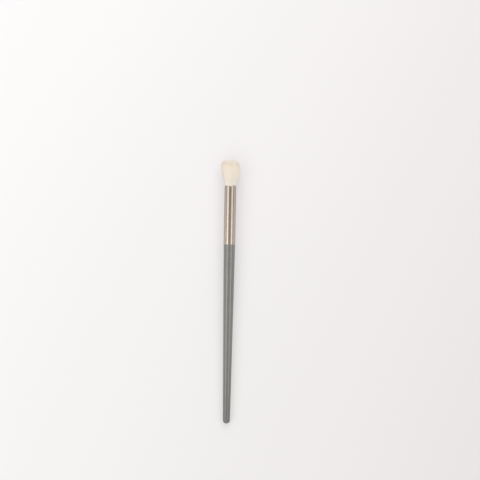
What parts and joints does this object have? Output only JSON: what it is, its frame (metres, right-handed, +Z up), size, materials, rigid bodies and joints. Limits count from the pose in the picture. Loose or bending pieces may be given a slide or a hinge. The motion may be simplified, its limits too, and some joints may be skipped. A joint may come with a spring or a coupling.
{
  "type": "stippling brush",
  "caption": "Slim make-up stippling brush: soft domed head of short and long hair, champagne metal ferrule, and a tapered satin grey handle with a rounded end.",
  "frame": {"origin": "the middle of the bounding box on the surface that the brush lies on", "axes": "+Z up from that surface; +Y along the brush towards the hair, in plan; +X to the right when looking along +Y"},
  "size_m": [0.0125, 0.1756, 0.0119],
  "materials": {
    "handle": "satin grey lacquer over turned wood",
    "ferrule": "champagne anodised, finely brushed",
    "resin": "clear amber bonding resin, hidden",
    "short_hair": "dense soft cream hair",
    "long_fibres": "pale translucent tapered fibres"
  },
  "bodies": {
    "root": {"handle": "handle", "ferrule": "ferrule", "resin_plug": "resin", "short_hair": "short_hair", "long_fibres": "long_fibres"}
  },
  "joints": []
}
